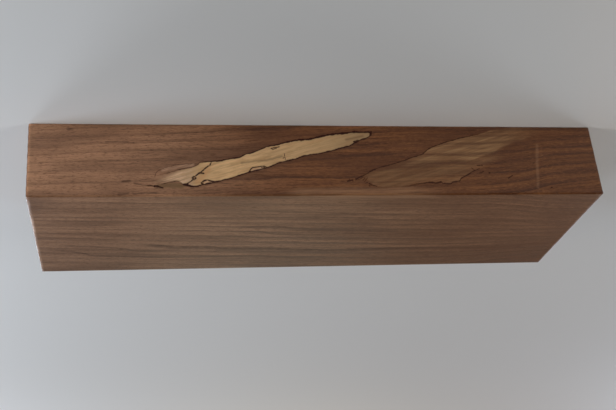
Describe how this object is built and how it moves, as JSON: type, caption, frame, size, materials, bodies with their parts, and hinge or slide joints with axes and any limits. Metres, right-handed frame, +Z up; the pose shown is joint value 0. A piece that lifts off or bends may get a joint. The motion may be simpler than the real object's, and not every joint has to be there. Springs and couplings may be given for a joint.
{
  "type": "walnut turning blank",
  "caption": "Squared block of solid caucasian walnut for woodturning, with square-cut ends and lightly eased arrises, lying on its wide face.",
  "frame": {"origin": "middle of the resting face, at the bottom centre of the block", "axes": "+X along the length and the grain, +Y across the width, +Z up through the thickness"},
  "size_m": [0.3, 0.097, 0.041],
  "materials": {
    "walnut": "planed and unfinished"
  },
  "bodies": {
    "root": {"walnut_blank": "walnut"}
  },
  "joints": []
}
